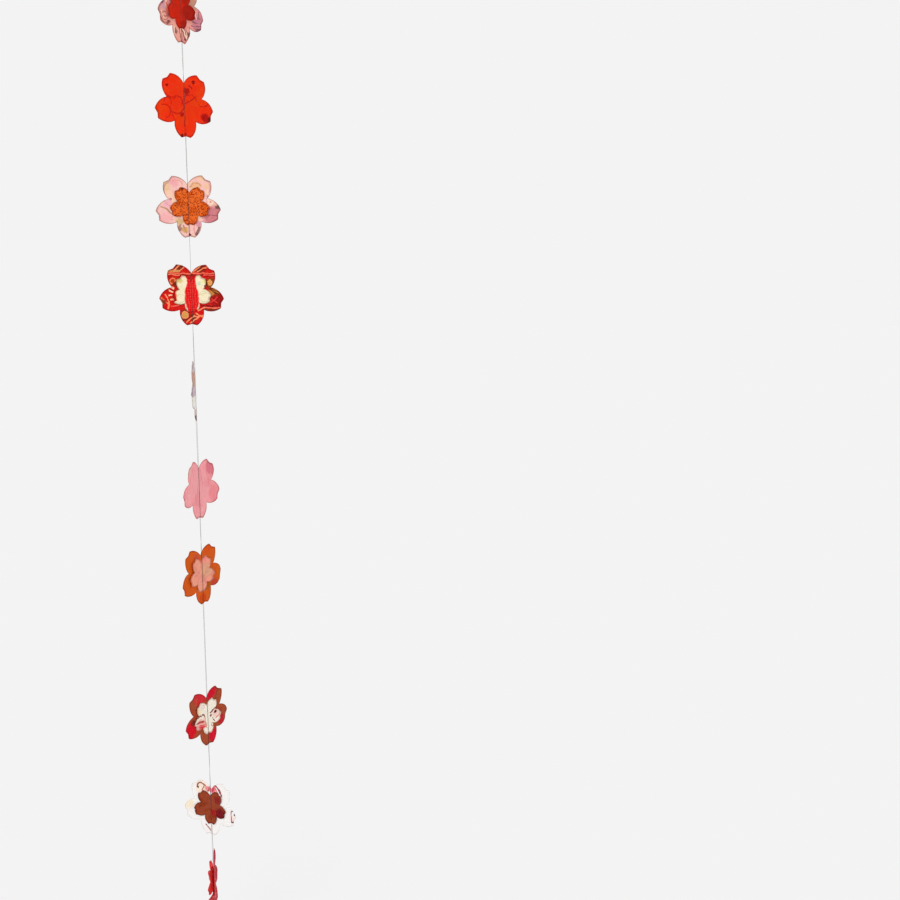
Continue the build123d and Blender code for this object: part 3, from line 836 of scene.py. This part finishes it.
# needle holes and the cut core's paler colour, with painted shade: a darker line down the crease and a darker
# rim along the sheet's edge
wearAndPaintedShade = {"hole": 0.3, "holeSoft": 0.1, "holeTint": (40, 20, 20), "holeShare": 0.8, "crease": 0.8,
        "creaseShadeTint": (120, 60, 56), "creaseShadeShare": 0.45, "edge": 1.7, "edgeShadeTint": (150, 92, 84),
        "edgeShadeShare": 0.65, "core": (250, 240, 225), "coreShare": 0.1}
# a fibre shows where its noise is near a level; the noise is its scale, detail, roughness, distortion
fibres = {"strand": {"noise": (0.5, 1.0, 0.5, 2.2), "level": 0.5, "half": 0.006, "share": 0.1},
          "short": {"noise": (1.1, 0.0, 0.5, 3.0), "level": 0.47, "half": 0.008, "share": 0.07}}
grain = {"noise": (3.0, 4.0, 0.65), "low": 0.25, "high": 0.75, "share": 0.1, "tint": (90, 60, 60)}
pulp = {"roughness": 0.85, "specular": 0.05, "sheer": 0.35, "scatter": 0.0004, "through": 0.3, "bump": 0.25,
        "bumpDepth": 0.00004, "fibreSoft": 0.006, "fibreTint": (255, 236, 220)}
relief = {"grain": 0.5, "strand": 0.6, "short": 0.4, "crease": 0.8}


def fibreMask(sheet, kind):
    cloud = sheet.shade.noise(sheet.place, *kind["noise"])
    return sheet.inside(abs(cloud - kind["level"]), kind["half"], pulp["fibreSoft"])


def paperLook(name, sheetPaper, side, punch):
    sheet = Sheet(name)
    shade = sheet.shade
    ground = tint(*sheetPaper["ground"])
    clear = {"Roughness": pulp["roughness"], "Specular_IOR_Level": pulp["specular"],
             "Subsurface_Weight": sheetPaper.get("sheer", pulp["sheer"]),
             "Subsurface_Scale": pulp["scatter"], "Subsurface_Radius": (1.0, 1.0, 1.0)}
    if side == "core":  # the cut edge shows the paper's paler middle
        paler = wearAndPaintedShade["coreShare"]
        core = [a * (1 - paler) + b * paler for a, b in zip(ground, tint(*wearAndPaintedShade["core"]))]
        return shade.finish(Base_Color=core, **clear)
    colour = ground
    for kind, *values in sheetPaper["print"]:
        colour = brush[kind](sheet, colour, *values)
    if side == "back":  # most prints only show through faintly
        colour = shade.mix(sheetPaper.get("through", pulp["through"]), ground, colour)
        for kind, *values in sheetPaper.get("shown", ()):
            colour = brush[kind](sheet, colour, *values)
    strands, short = [fibreMask(sheet, kind) for kind in fibres.values()]
    specks = shade.noise(sheet.place, *grain["noise"])
    colour = sheet.lay(shade.step(specks, grain["low"], grain["high"], 0.0, grain["share"]), colour,
                       grain["tint"], "MULTIPLY")
    shown = strands * fibres["strand"]["share"] + short * fibres["short"]["share"]
    colour = sheet.lay(shown, colour, pulp["fibreTint"])
    across, up = sheet.split(sheet.spread("seam"))
    stitches = up / stitch["pitch"]
    hole = (stitches - up.calc("ROUND", stitches)) * stitch["pitch"]
    away = across * across + hole * hole
    # painted shade: the crease is darkened as the shade in the fold; the same mask sinks the bump
    crease = sheet.inside(abs(across), wearAndPaintedShade["crease"] / 2, wearAndPaintedShade["crease"] / 2)
    colour = sheet.lay(crease * wearAndPaintedShade["creaseShadeShare"], colour, wearAndPaintedShade["creaseShadeTint"], "MULTIPLY")
    pricked = sheet.inside(away.calc("SQRT", away), wearAndPaintedShade["hole"], wearAndPaintedShade["holeSoft"])
    colour = sheet.lay(pricked * wearAndPaintedShade["holeShare"], colour, wearAndPaintedShade["holeTint"], "MULTIPLY")
    reach = shade.add("ShaderNodeAttribute", {"attribute_name": "reach"}, None, 2)
    # painted shade: a darker rim along the sheet's edge, standing in for the shade at the paper's thickness
    edge = shade.step(reach, 1 - wearAndPaintedShade["edge"] / punch["neck"], 1.0)
    colour = sheet.lay(edge * sheetPaper.get("edge", wearAndPaintedShade["edgeShadeShare"]), colour, wearAndPaintedShade["edgeShadeTint"], "MULTIPLY")
    height = (specks * relief["grain"] + strands * relief["strand"] + short * relief["short"]
              - crease * relief["crease"])
    bump = shade.add("ShaderNodeBump", None,
                     {"Strength": pulp["bump"], "Distance": pulp["bumpDepth"], "Height": height})
    return shade.finish(Base_Color=colour, Normal=bump, **clear)


for index in range(len(flowers)):
    for which in ("large", "small"):
        sheetPaper = papers[index + 1, which]
        name = "%s paper of flower %d" % (which, index + 1)
        punch = largePunch if which == "large" else smallPunch
        looks = [paperLook(name + " " + side, sheetPaper, side, punch) for side in ("face", "back", "core")]
        flowerSheet(index, which, punch, looks)
    print("flower", index + 1, "made")

room = {"floor": cadBox[0].z - 0.03, "size": 12.0, "tone": (243, 243, 243), "lit": (253, 253, 253),
        "rough": 0.95, "sky": 0.6, "shown": 0.85}


def roomMaterial(name):
    shade = Shade(name)
    rays = shade.add("ShaderNodeLightPath")
    surface = shade.add("ShaderNodeBsdfPrincipled", None, {
        "Base Color": tint(*room["lit"]), "Roughness": room["rough"], "Specular IOR Level": 0.0})
    glow = shade.add("ShaderNodeEmission", None, {"Color": tint(*room["tone"])})
    mixed = shade.add("ShaderNodeMixShader", None, {0: rays * room["shown"], 1: surface, 2: glow})
    shade.tree.links.new(mixed.socket, shade.out.inputs["Surface"])
    return shade.material


def roomPlane(name, matrix, material):
    bm = bmesh.new()
    bmesh.ops.create_grid(bm, x_segments=1, y_segments=1, size=room["size"])
    bmesh.ops.transform(bm, matrix=matrix, verts=bm.verts[:])
    mesh = bpy.data.meshes.new(name)
    bm.to_mesh(mesh)
    bm.free()
    mesh.materials.append(material)
    plane = bpy.data.objects.new(name, mesh)
    scene.collection.objects.link(plane)


roomPlane("floor", Matrix.Translation((0, 0, room["floor"])), roomMaterial("pale floor"))


class Sky(Shade):  # the world's nodes, made by the same method
    def __init__(self, name):
        scene.world = bpy.data.worlds.new(name)
        scene.world.use_nodes = True
        self.tree = scene.world.node_tree
        self.tree.nodes.clear()
        self.out = self.tree.nodes.new("ShaderNodeOutputWorld")
        rays = self.add("ShaderNodeLightPath")
        seen = rays.calc("MAXIMUM", rays, Wire(self, rays.socket.node.outputs["Is Glossy Ray"]))
        seen = seen.calc("MAXIMUM", seen, Wire(self, rays.socket.node.outputs["Is Transmission Ray"]))
        soft = self.add("ShaderNodeBackground", None, {"Color": (1, 1, 1, 1), "Strength": room["sky"]})
        wall = self.add("ShaderNodeBackground", None, {"Color": tint(*room["tone"])})
        both = self.add("ShaderNodeMixShader", None, {0: seen, 1: soft, 2: wall})
        self.tree.links.new(both.socket, self.out.inputs["Surface"])


Sky("plain light")
lamps = {"key": {"energy": 1.2, "angle": 30.0, "from": (-0.45, -1.0, 1.1)},
         "fill": {"energy": 0.55, "angle": 60.0, "from": (0.8, -0.8, 0.3)}}
for name, lamp in lamps.items():
    data = bpy.data.lights.new(name, "SUN")
    data.energy, data.angle = lamp["energy"], math.radians(lamp["angle"])
    sun = bpy.data.objects.new(name, data)
    scene.collection.objects.link(sun)
    sun.rotation_euler = Vector(lamp["from"]).to_track_quat("Z", "Y").to_euler()
print("room and light set")
